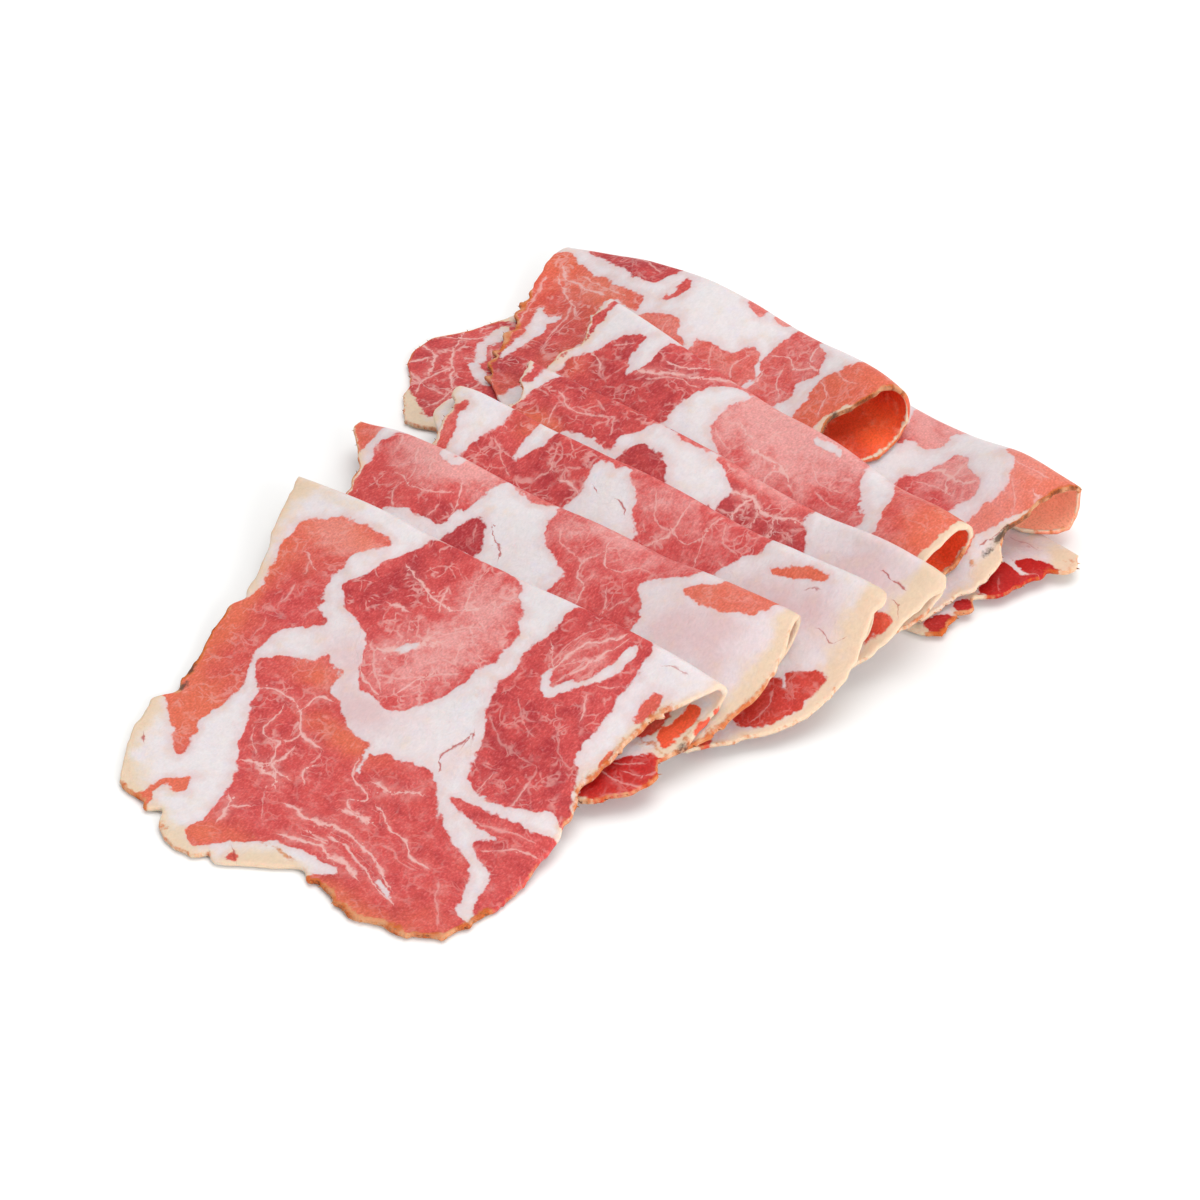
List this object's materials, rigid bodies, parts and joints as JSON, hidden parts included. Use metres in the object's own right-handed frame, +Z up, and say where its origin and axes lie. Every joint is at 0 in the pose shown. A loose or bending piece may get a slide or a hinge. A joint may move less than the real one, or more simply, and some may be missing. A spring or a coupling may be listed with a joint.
{
  "type": "sliced coppa",
  "caption": "Thin marbled slices of cured pork, each folded over once and laid overlapping in a fan, with pink-red meat, white fat and a thin dark rind.",
  "frame": {"origin": "centre of the fan's footprint, on the surface it lies on", "axes": "+Z up; +Y up the fan, from the slice laid on last towards the first one laid down; +X along the folds, towards their open right-hand ends"},
  "size_m": [0.133, 0.1673, 0.0163],
  "materials": {
    "cured_pork": "moist, slightly glossy"
  },
  "bodies": {
    "root": {"slice_1": "cured_pork", "slice_2": "cured_pork", "slice_3": "cured_pork", "slice_4": "cured_pork", "slice_5": "cured_pork", "slice_6": "cured_pork", "slice_7": "cured_pork", "slice_8": "cured_pork"}
  },
  "joints": []
}
